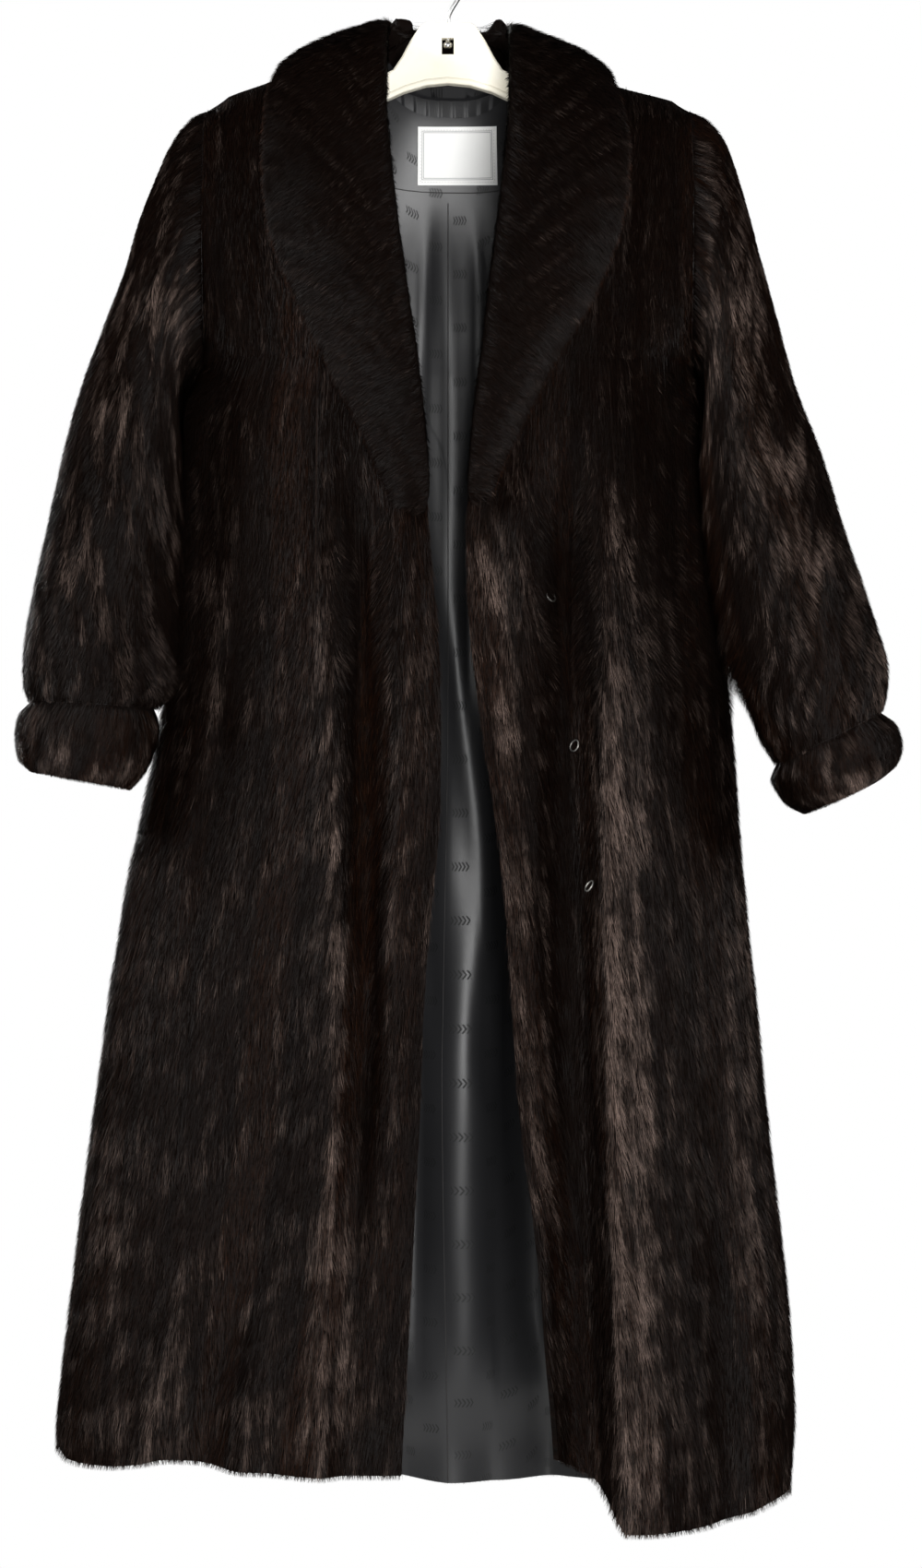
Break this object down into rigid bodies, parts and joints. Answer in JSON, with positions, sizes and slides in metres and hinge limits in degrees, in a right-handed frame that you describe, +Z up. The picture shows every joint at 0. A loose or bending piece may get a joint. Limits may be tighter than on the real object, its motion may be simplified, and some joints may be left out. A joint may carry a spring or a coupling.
{
  "type": "full-length fur coat on a clothes hanger",
  "caption": "Full-length open fur coat with shawl collar, full sleeves in turned cuffs and a satin lining, on a moulded hanger.",
  "frame": {"origin": "inside top of the hanger's hook, where it rests on a rod", "axes": "+Z up, the open front faces -Y, +X to the right of someone facing the coat's front"},
  "size_m": [0.796, 0.2624, 1.4238],
  "materials": {
    "fur": "dense dark mahogany mink fur, glossy guard hairs lying downwards",
    "lining": "black satin with a woven jacquard figure",
    "ribbon": "black pleated ribbon",
    "label": "white woven satin, bare apart from a thin border",
    "hanger": "cream moulded plastic",
    "steel": "plated steel wire",
    "wire": "dull steel wire"
  },
  "bodies": {
    "root": {"back": "fur", "front_right": "fur", "front_left": "fur", "sleeve_right": "fur", "sleeve_left": "fur", "cuff_right": "fur", "cuff_left": "fur", "collar": "fur", "lining": "lining", "lining_yoke": "lining", "neck_band": "ribbon", "label": "label", "hanger": "hanger", "hook": "steel", "closure_eye_1": "wire", "closure_eye_2": "wire", "closure_eye_3": "wire"}
  },
  "joints": []
}
